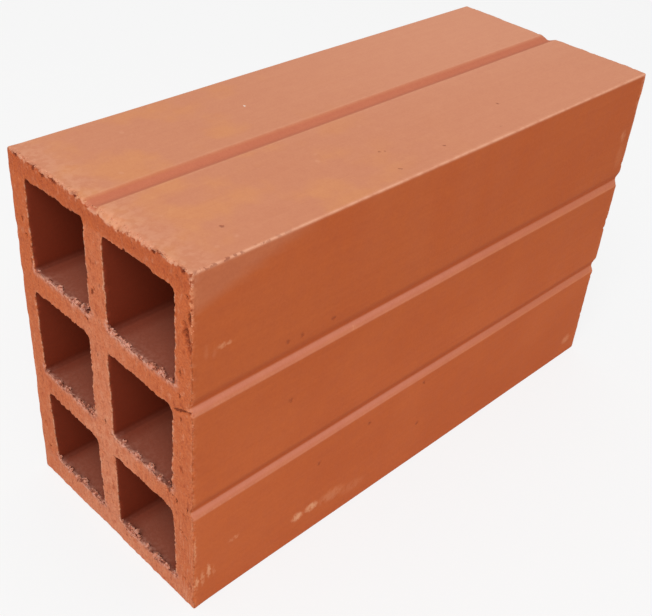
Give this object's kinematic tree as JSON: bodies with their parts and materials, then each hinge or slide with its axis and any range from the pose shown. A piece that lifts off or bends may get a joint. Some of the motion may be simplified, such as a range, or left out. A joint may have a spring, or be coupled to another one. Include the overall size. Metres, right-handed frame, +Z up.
{
  "type": "hollow clay brick",
  "caption": "Extruded hollow fired-clay brick with through cells along its length and shallow grooves on its long faces that key mortar and plaster, for walls and partitions.",
  "frame": {"origin": "centre of the bed face that the brick stands on", "axes": "+X along the length and the cells, +Y across the width, +Z up"},
  "size_m": [0.25, 0.1, 0.15],
  "materials": {
    "fired_clay": "matte, unglazed fired clay"
  },
  "bodies": {
    "root": {"brick": "fired_clay"}
  },
  "joints": []
}
